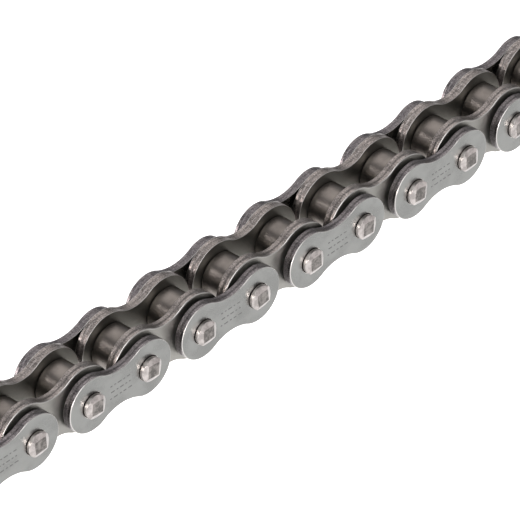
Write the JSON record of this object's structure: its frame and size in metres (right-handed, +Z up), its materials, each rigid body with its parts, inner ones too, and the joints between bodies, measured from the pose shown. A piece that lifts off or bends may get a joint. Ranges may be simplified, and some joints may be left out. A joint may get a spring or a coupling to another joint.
{
  "type": "roller chain",
  "caption": "Straight length of single-strand roller chain with waisted plates, free rollers and staked pins; open bushes at both ends take a connecting link.",
  "frame": {"origin": "Middle of the middle inner link, on the line of the pins; it is also the centre of the whole length.", "axes": "+X runs along the chain, Y along the pins with the front plates at -Y, and +Z up: the chain stands on the edges of its plates."},
  "size_m": [0.2212, 0.019, 0.0148],
  "materials": {
    "inner_plate": "nickel plated, satin, blanked edges",
    "outer_plate": "nickel plated, satin, blanked edges",
    "bush": "hardened steel, ground",
    "roller": "hardened steel, brown-grey, smooth",
    "pin": "hardened steel, ends staked on four sides"
  },
  "bodies": {
    "inner_link_1": {"inner_link_1_front_plate": "inner_plate", "inner_link_1_back_plate": "inner_plate", "inner_link_1_bushes": "bush"},
    "inner_link_2": {"inner_link_2_front_plate": "inner_plate", "inner_link_2_back_plate": "inner_plate", "inner_link_2_bushes": "bush"},
    "inner_link_3": {"inner_link_3_front_plate": "inner_plate", "inner_link_3_back_plate": "inner_plate", "inner_link_3_bushes": "bush"},
    "inner_link_4": {"inner_link_4_front_plate": "inner_plate", "inner_link_4_back_plate": "inner_plate", "inner_link_4_bushes": "bush"},
    "inner_link_5": {"inner_link_5_front_plate": "inner_plate", "inner_link_5_back_plate": "inner_plate", "inner_link_5_bushes": "bush"},
    "inner_link_6": {"inner_link_6_front_plate": "inner_plate", "inner_link_6_back_plate": "inner_plate", "inner_link_6_bushes": "bush"},
    "inner_link_7": {"inner_link_7_front_plate": "inner_plate", "inner_link_7_back_plate": "inner_plate", "inner_link_7_bushes": "bush"},
    "outer_link_1": {"outer_link_1_front_plate": "outer_plate", "outer_link_1_back_plate": "outer_plate", "pin_01": "pin", "pin_02": "pin"},
    "outer_link_2": {"outer_link_2_front_plate": "outer_plate", "outer_link_2_back_plate": "outer_plate", "pin_03": "pin", "pin_04": "pin"},
    "outer_link_3": {"outer_link_3_front_plate": "outer_plate", "outer_link_3_back_plate": "outer_plate", "pin_05": "pin", "pin_06": "pin"},
    "outer_link_4": {"outer_link_4_front_plate": "outer_plate", "outer_link_4_back_plate": "outer_plate", "pin_07": "pin", "pin_08": "pin"},
    "outer_link_5": {"outer_link_5_front_plate": "outer_plate", "outer_link_5_back_plate": "outer_plate", "pin_09": "pin", "pin_10": "pin"},
    "outer_link_6": {"outer_link_6_front_plate": "outer_plate", "outer_link_6_back_plate": "outer_plate", "pin_11": "pin", "pin_12": "pin"},
    "roller_01": {"roller_01": "roller"},
    "roller_02": {"roller_02": "roller"},
    "roller_03": {"roller_03": "roller"},
    "roller_04": {"roller_04": "roller"},
    "roller_05": {"roller_05": "roller"},
    "roller_06": {"roller_06": "roller"},
    "roller_07": {"roller_07": "roller"},
    "roller_08": {"roller_08": "roller"},
    "roller_09": {"roller_09": "roller"},
    "roller_10": {"roller_10": "roller"},
    "roller_11": {"roller_11": "roller"},
    "roller_12": {"roller_12": "roller"},
    "roller_13": {"roller_13": "roller"},
    "roller_14": {"roller_14": "roller"}
  },
  "joints": [
    {"name": "link_hinge_01", "type": "hinge", "parent": "outer_link_1", "child": "inner_link_1", "pos_m": [-0.08731, 0, 0], "axis": [0, -1, 0], "range_deg": [-25.71, 25.71]},
    {"name": "link_hinge_02", "type": "hinge", "parent": "inner_link_2", "child": "outer_link_1", "pos_m": [-0.07144, 0, 0], "axis": [0, -1, 0], "range_deg": [-25.71, 25.71]},
    {"name": "link_hinge_03", "type": "hinge", "parent": "outer_link_2", "child": "inner_link_2", "pos_m": [-0.05556, 0, 0], "axis": [0, -1, 0], "range_deg": [-25.71, 25.71]},
    {"name": "link_hinge_04", "type": "hinge", "parent": "inner_link_3", "child": "outer_link_2", "pos_m": [-0.03969, 0, 0], "axis": [0, -1, 0], "range_deg": [-25.71, 25.71]},
    {"name": "link_hinge_05", "type": "hinge", "parent": "outer_link_3", "child": "inner_link_3", "pos_m": [-0.02381, 0, 0], "axis": [0, -1, 0], "range_deg": [-25.71, 25.71]},
    {"name": "link_hinge_06", "type": "hinge", "parent": "inner_link_4", "child": "outer_link_3", "pos_m": [-0.00794, 0, 0], "axis": [0, -1, 0], "range_deg": [-25.71, 25.71]},
    {"name": "link_hinge_07", "type": "hinge", "parent": "inner_link_4", "child": "outer_link_4", "pos_m": [0.00794, 0, 0], "axis": [0, 1, 0], "range_deg": [-25.71, 25.71]},
    {"name": "link_hinge_08", "type": "hinge", "parent": "outer_link_4", "child": "inner_link_5", "pos_m": [0.02381, 0, 0], "axis": [0, 1, 0], "range_deg": [-25.71, 25.71]},
    {"name": "link_hinge_09", "type": "hinge", "parent": "inner_link_5", "child": "outer_link_5", "pos_m": [0.03969, 0, 0], "axis": [0, 1, 0], "range_deg": [-25.71, 25.71]},
    {"name": "link_hinge_10", "type": "hinge", "parent": "outer_link_5", "child": "inner_link_6", "pos_m": [0.05556, 0, 0], "axis": [0, 1, 0], "range_deg": [-25.71, 25.71]},
    {"name": "link_hinge_11", "type": "hinge", "parent": "inner_link_6", "child": "outer_link_6", "pos_m": [0.07144, 0, 0], "axis": [0, 1, 0], "range_deg": [-25.71, 25.71]},
    {"name": "link_hinge_12", "type": "hinge", "parent": "outer_link_6", "child": "inner_link_7", "pos_m": [0.08731, 0, 0], "axis": [0, 1, 0], "range_deg": [-25.71, 25.71]},
    {"name": "roller_spin_01", "type": "hinge", "parent": "inner_link_1", "child": "roller_01", "pos_m": [-0.10319, 0, 0], "axis": [0, 1, 0], "continuous": true},
    {"name": "roller_spin_02", "type": "hinge", "parent": "inner_link_1", "child": "roller_02", "pos_m": [-0.08731, 0, 0], "axis": [0, 1, 0], "continuous": true},
    {"name": "roller_spin_03", "type": "hinge", "parent": "inner_link_2", "child": "roller_03", "pos_m": [-0.07144, 0, 0], "axis": [0, 1, 0], "continuous": true},
    {"name": "roller_spin_04", "type": "hinge", "parent": "inner_link_2", "child": "roller_04", "pos_m": [-0.05556, 0, 0], "axis": [0, 1, 0], "continuous": true},
    {"name": "roller_spin_05", "type": "hinge", "parent": "inner_link_3", "child": "roller_05", "pos_m": [-0.03969, 0, 0], "axis": [0, 1, 0], "continuous": true},
    {"name": "roller_spin_06", "type": "hinge", "parent": "inner_link_3", "child": "roller_06", "pos_m": [-0.02381, 0, 0], "axis": [0, 1, 0], "continuous": true},
    {"name": "roller_spin_07", "type": "hinge", "parent": "inner_link_4", "child": "roller_07", "pos_m": [-0.00794, 0, 0], "axis": [0, 1, 0], "continuous": true},
    {"name": "roller_spin_08", "type": "hinge", "parent": "inner_link_4", "child": "roller_08", "pos_m": [0.00794, 0, 0], "axis": [0, 1, 0], "continuous": true},
    {"name": "roller_spin_09", "type": "hinge", "parent": "inner_link_5", "child": "roller_09", "pos_m": [0.02381, 0, 0], "axis": [0, 1, 0], "continuous": true},
    {"name": "roller_spin_10", "type": "hinge", "parent": "inner_link_5", "child": "roller_10", "pos_m": [0.03969, 0, 0], "axis": [0, 1, 0], "continuous": true},
    {"name": "roller_spin_11", "type": "hinge", "parent": "inner_link_6", "child": "roller_11", "pos_m": [0.05556, 0, 0], "axis": [0, 1, 0], "continuous": true},
    {"name": "roller_spin_12", "type": "hinge", "parent": "inner_link_6", "child": "roller_12", "pos_m": [0.07144, 0, 0], "axis": [0, 1, 0], "continuous": true},
    {"name": "roller_spin_13", "type": "hinge", "parent": "inner_link_7", "child": "roller_13", "pos_m": [0.08731, 0, 0], "axis": [0, 1, 0], "continuous": true},
    {"name": "roller_spin_14", "type": "hinge", "parent": "inner_link_7", "child": "roller_14", "pos_m": [0.10319, 0, 0], "axis": [0, 1, 0], "continuous": true}
  ]
}
